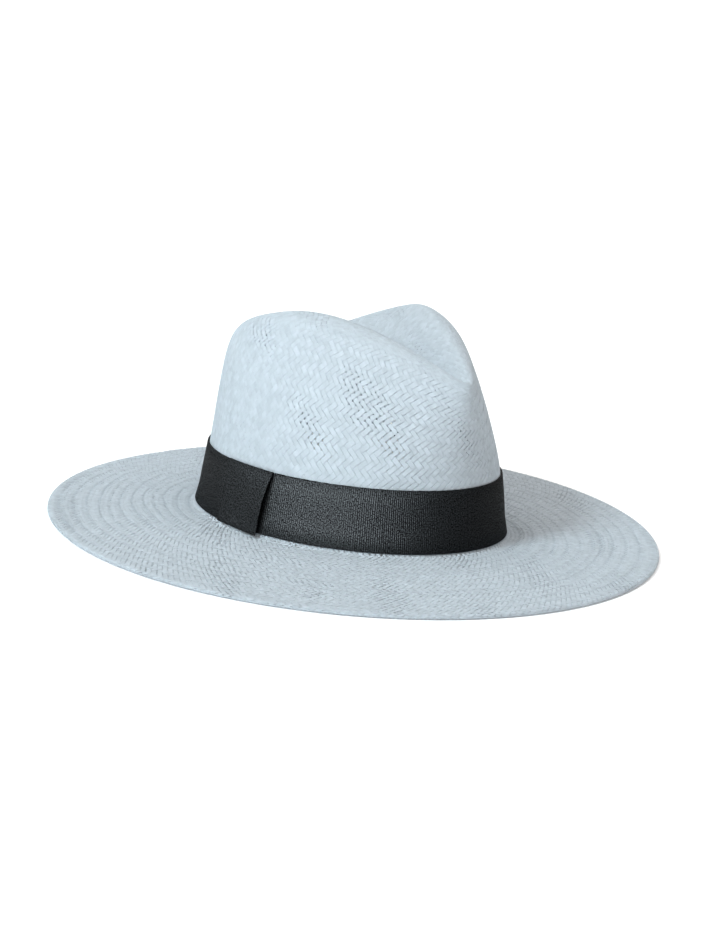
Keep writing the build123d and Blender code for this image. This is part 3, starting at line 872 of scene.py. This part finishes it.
woven_straw(straw)
hat_band(grosgrain)
band_tab(grosgrain)
sweatband(sweat_cloth)
sweatband_patch("sweatband_tape_cloth", tape_low[2], tape_high[2], 174.0, 186.0, sweat_cloth,
                ["sweatband_tape"])
sweatband_patch("label_cloth_piece", label_low[2], label_high[2], 159.0, 172.0, label_cloth,
                ["size_label"])
sweatband_stitches(pale_thread)
tab_tacks(dark_thread)
shown_as_it_is("hem_stitches", pale_thread)
shown_as_it_is("brim_wire", steel)
shown_as_it_is("wire_sleeve", steel)


# ---- Floor, light and camera --------------------------------------------------------------------

FLOOR_HALF = 30.0
FLOOR_HEIGHT = -0.0002
KEY_COLOUR = (0.80, 0.94, 1.0)
RIBBON_LIGHT_COLOUR = (0.82, 0.94, 1.0)
WORLD_COLOUR = (1.0, 0.96, 0.93)
WHITE = (1.0, 1.0, 1.0)


def floor():
    """A plain floor just under the brim's edge."""
    mesh = bpy.data.meshes.new("floor")
    corners = [(-FLOOR_HALF, -FLOOR_HALF, FLOOR_HEIGHT), (FLOOR_HALF, -FLOOR_HALF, FLOOR_HEIGHT),
               (FLOOR_HALF, FLOOR_HALF, FLOOR_HEIGHT), (-FLOOR_HALF, FLOOR_HALF, FLOOR_HEIGHT)]
    mesh.from_pydata(corners, [], [(0, 1, 2, 3)])
    piece = bpy.data.objects.new("floor", mesh)
    bpy.context.scene.collection.objects.link(piece)
    mesh.materials.append(floor_material())


def new_lamp(name, kind, place, target):
    """A light at a place, turned towards its target."""
    light = bpy.data.lights.new(name, kind)
    lamp = bpy.data.objects.new(name, light)
    bpy.context.scene.collection.objects.link(lamp)
    lamp.location = place
    lamp.rotation_euler = (Vector(target) - Vector(place)).to_track_quat("-Z", "Y").to_euler()
    return lamp


def sun_light(name, colour, azimuth, elevation, strength, spread):
    """Soft sunlight from one side, the same all over the floor."""
    place = (math.sin(azimuth) * math.cos(elevation), -math.cos(azimuth) * math.cos(elevation),
             math.sin(elevation))
    lamp = new_lamp(name, "SUN", place, (0.0, 0.0, 0.0))
    lamp.data.color = colour
    lamp.data.energy = strength
    lamp.data.angle = math.radians(spread)


def glossy_light(name, colour, place, target, size, watts):
    """A large soft light that only shows in the ribbon's sheen."""
    lamp = new_lamp(name, "AREA", place, target)
    lamp.data.color = colour
    lamp.data.shape = "DISK"
    lamp.data.size = size
    lamp.data.energy = watts
    lamp.visible_diffuse = False


def world_light(colour, strength):
    """Even light from all round."""
    world = bpy.data.worlds.new("studio")
    bpy.context.scene.world = world
    world.use_nodes = True
    background = world.node_tree.nodes["Background"]
    background.inputs["Color"].default_value = (*colour, 1.0)
    background.inputs["Strength"].default_value = strength


CAMERA_AZIMUTH = math.radians(-42.56)
CAMERA_ELEVATION = math.radians(13.08)
CAMERA_ROLL = math.radians(4.41)
CAMERA_DISTANCE = 1.45
CAMERA_LENS = 93.3
CAMERA_SHIFT = (0.0044, -0.0363)
SENSOR = 36.0
TARGET_HEIGHT = 0.058


def camera():
    """The camera looks at the middle of the crown, with a small roll and shift."""
    target = Vector((0.0, HEAD_SET_BACK * MM, TARGET_HEIGHT))
    back = Vector((math.sin(CAMERA_AZIMUTH) * math.cos(CAMERA_ELEVATION),
                   -math.cos(CAMERA_AZIMUTH) * math.cos(CAMERA_ELEVATION),
                   math.sin(CAMERA_ELEVATION)))
    right = Vector((math.cos(CAMERA_AZIMUTH), math.sin(CAMERA_AZIMUTH), 0.0))
    up = back.cross(right)
    turned = Matrix.Rotation(CAMERA_ROLL, 3, back)
    right = turned @ right
    up = turned @ up
    data = bpy.data.cameras.new("camera")
    data.sensor_fit = "VERTICAL"
    data.sensor_height = SENSOR
    data.lens = CAMERA_LENS
    data.shift_x, data.shift_y = CAMERA_SHIFT
    data.clip_end = 100.0
    seen = bpy.data.objects.new("camera", data)
    bpy.context.scene.collection.objects.link(seen)
    seen.matrix_world = Matrix((right, up, back)).transposed().to_4x4()
    seen.location = target + back * CAMERA_DISTANCE
    bpy.context.scene.camera = seen


floor()
world_light(WORLD_COLOUR, 0.64)
sun_light("key_light", KEY_COLOUR, math.radians(-88.0), math.radians(39.0), 2.12, 14.0)
sun_light("overhead_light", WHITE, math.radians(-90.0), math.radians(85.0), 1.2, 70.0)
glossy_light("ribbon_light", RIBBON_LIGHT_COLOUR, (-2.25, -0.6, 0.7), (0.0, 0.0, 0.03), 2.2, 800.0)
camera()
bpy.context.scene.view_settings.view_transform = "Standard"
